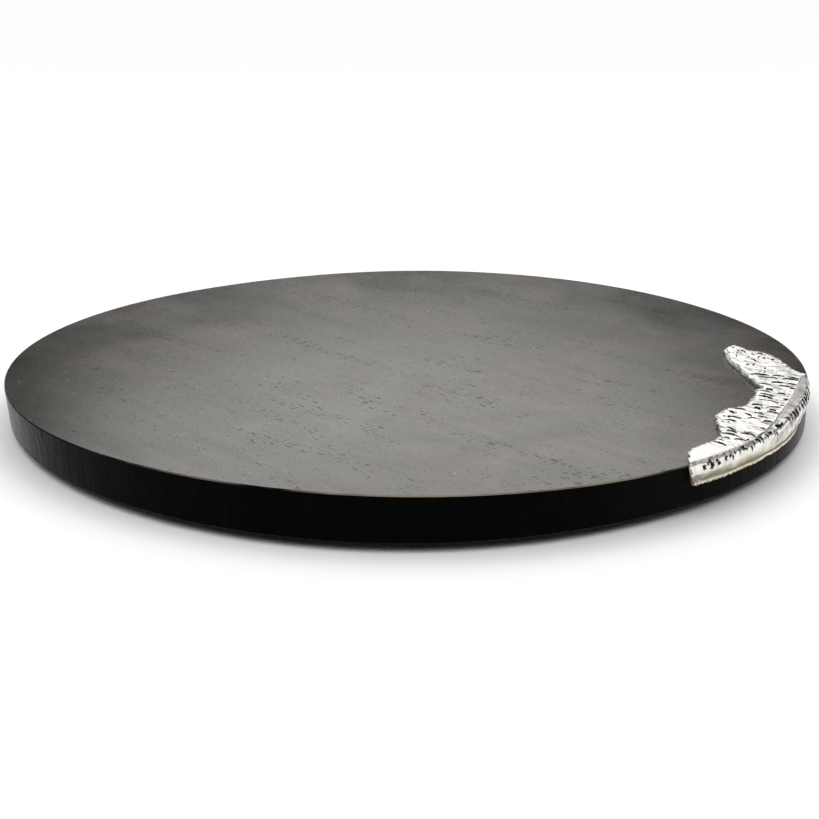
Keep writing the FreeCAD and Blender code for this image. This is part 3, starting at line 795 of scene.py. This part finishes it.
def make_trim():
    """The casting as one closed mesh, its oxide and painted shade stored for the material."""
    points, angle, radius = base_grid()
    height, oxide_and_shade = relief(points, angle, radius)
    points = points + grid_normals(points) * height[..., None]
    over = np.maximum(points[..., 2] - SOFT_TOP, 0)
    room = HARD_TOP - SOFT_TOP
    points[..., 2] = np.minimum(points[..., 2], SOFT_TOP) + room * np.tanh(over / room)
    rows, columns = points.shape[:2]
    vertices = points.reshape(-1, 3) * MM + np.array([0, 0, BOARD_TOP])
    faces = []
    for i in range(rows - 1):
        for j in range(columns):
            a, b = i * columns + j, i * columns + (j + 1) % columns
            faces.append((a, b, b + columns, a + columns))
    faces.append(tuple(range(columns))[::-1])
    faces.append(tuple(range((rows - 1) * columns, rows * columns)))
    mesh = bpy.data.meshes.new("bark_trim_cast")
    mesh.from_pydata(vertices.tolist(), [], faces)
    mesh.validate()
    attribute = mesh.attributes.new("oxide_and_shade", "FLOAT", "POINT")
    attribute.data.foreach_set("value", oxide_and_shade.ravel().astype(np.float32))
    mesh.polygons.foreach_set("use_smooth", [True] * len(mesh.polygons))
    mesh.update()
    mesh.materials.append(silver_material())
    trim = bpy.data.objects.new("bark_trim_cast", mesh)
    bpy.context.scene.collection.objects.link(trim)
    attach(trim, BODY)
    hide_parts("bark_trim")


def silver_material():
    """Polished cast metal with dark oxide in its pits and a warm film beside them, painted shade at
    its lip and inner foot, and a painted warm reflection low on the skirt.
    """
    material, tree, shader = new_material("cast_silver_polished")
    where = add(tree, "ShaderNodeTexCoord").outputs["Object"]
    oxide_and_shade = add(tree, "ShaderNodeAttribute", attribute_name="oxide_and_shade").outputs["Fac"]
    cloud = noise(tree, where, 160.0, 4.0, 0.6)
    height = add(tree, "ShaderNodeSeparateXYZ", {0: where}).outputs["Z"]
    # painted reflection: the skirt is tinted warm lower down
    low = step_between(tree, height, BOARD_TOP - 1.5 * MM, BOARD_TOP - 7 * MM)
    patch = step_between(tree, noise(tree, where, 90.0, 3.0), 0.50, 0.72)
    # warm film in random patches, plus the painted warm reflection lower down
    warm_film_and_reflection = maths(tree, "ADD", maths(tree, "MULTIPLY", patch, 0.35),
                 maths(tree, "MULTIPLY", low, 0.75), clamp=True)
    # black where the attribute holds oxide in the pits and painted shade at the lip and foot
    dark = step_between(tree, oxide_and_shade, 0.22, 0.6)
    colour = mix_colour(tree, warm_film_and_reflection, (0.95, 0.945, 0.93), (0.72, 0.64, 0.46))
    colour = tinted(tree, colour, step_between(tree, oxide_and_shade, 0.02, 0.35), 0.5, (0.40, 0.31, 0.19))
    colour = mix_colour(tree, dark, colour, (0.006, 0.0055, 0.005))
    tree.links.new(colour, shader.inputs["Base Color"])
    tree.links.new(maths(tree, "SUBTRACT", 1.0, dark), shader.inputs["Metallic"])
    rough = weighted_sum(tree, 0.24, (cloud, 0.24), (dark, 0.6), clamp=True)
    tree.links.new(rough, shader.inputs["Roughness"])
    add_bump(tree, shader, cloud, 0.35, 0.3 * MM)
    return material


# ---------------------------------------------------------------- small parts
def rubber_material():
    """Matt black moulded rubber, faintly dusty, with fine grit."""
    material, tree, shader = new_material("foot_rubber_moulded", Specular_IOR_Level=0.35)
    where = add(tree, "ShaderNodeTexCoord").outputs["Object"]
    dusty = step_between(tree, noise(tree, where, 220.0, 4.0, 0.6), 0.45, 0.75)
    colour = mix_colour(tree, dusty, (0.014, 0.014, 0.015), (0.055, 0.053, 0.05))
    tree.links.new(colour, shader.inputs["Base Color"])
    tree.links.new(weighted_sum(tree, 0.62, (dusty, 0.2)), shader.inputs["Roughness"])
    add_bump(tree, shader, noise(tree, where, 2600.0, 2.0, 0.5), 0.4, 0.15 * MM)
    return material


def steel_material(name, tint):
    """Turned and plated steel: brushed streaks round the part and a little tarnish."""
    material, tree, shader = new_material(name, Metallic=1.0)
    where = add(tree, "ShaderNodeTexCoord").outputs["Object"]
    brushed = noise(tree, stretched(tree, where, (300.0, 300.0, 5200.0)), 1.0, 3.0, 0.6)
    tarnish = step_between(tree, noise(tree, where, 420.0, 4.0, 0.6), 0.48, 0.74)
    colour = tinted(tree, tint, tarnish, 0.6, tuple(0.45 * part for part in tint))
    tree.links.new(colour, shader.inputs["Base Color"])
    tree.links.new(weighted_sum(tree, 0.22, (brushed, 0.22)), shader.inputs["Roughness"])
    add_bump(tree, shader, brushed, 0.3, 0.1 * MM)
    return material


def dowel_material():
    """Pale beech dowels with fine fibre and dark flecks."""
    material, tree, shader = new_material("dowel_beech")
    where = add(tree, "ShaderNodeTexCoord").outputs["Object"]
    fibre = noise(tree, stretched(tree, where, (260.0, 260.0, 900.0)), 1.0, 4.0, 0.6)
    fleck = step_between(tree, noise(tree, where, 700.0, 2.0), 0.60, 0.72)
    colour = mix_colour(tree, fibre, (0.50, 0.33, 0.19), (0.68, 0.50, 0.32))
    colour = tinted(tree, colour, fleck, 0.5, (0.33, 0.20, 0.11))
    tree.links.new(colour, shader.inputs["Base Color"])
    tree.links.new(weighted_sum(tree, 0.5, (fibre, 0.2)), shader.inputs["Roughness"])
    add_bump(tree, shader, fibre, 0.4, 0.2 * MM)
    return material


def dress_small_parts():
    """Materials for the feet, their fixings, the casting's screws and the dowels."""
    looks = {
        "rubber_foot_": rubber_material(),
        "foot_washer_": steel_material("washer_zinc", (0.72, 0.73, 0.74)),
        "foot_screw_": steel_material("screw_zinc", (0.66, 0.66, 0.68)),
        "trim_screw_": steel_material("screw_brassed", (0.74, 0.62, 0.36)),
        "seam_dowels_": dowel_material(),
    }
    for name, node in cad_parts.items():
        for start, material in looks.items():
            if not name.startswith(start):
                continue
            mesh = node.data
            mesh.materials.clear()
            mesh.materials.append(material)
            if start != "seam_dowels_":
                mesh.polygons.foreach_set("use_smooth", [False] * len(mesh.polygons))


# ---------------------------------------------------------------- the scene
bpy.context.scene.view_settings.view_transform = "Standard"
make_floor()
make_backdrop()
make_world(low_strength=0.05, high_strength=2.12)
make_softbox(
    "back_softbox", place=(-0.01, 2.0, 1.0), target=(-0.01, 0, 0.02), width=1.62, height=0.9,
    radiance=1.95, colour=(1.0, 0.975, 0.93),
)
make_camera()
dress_staves()
make_trim()
dress_small_parts()
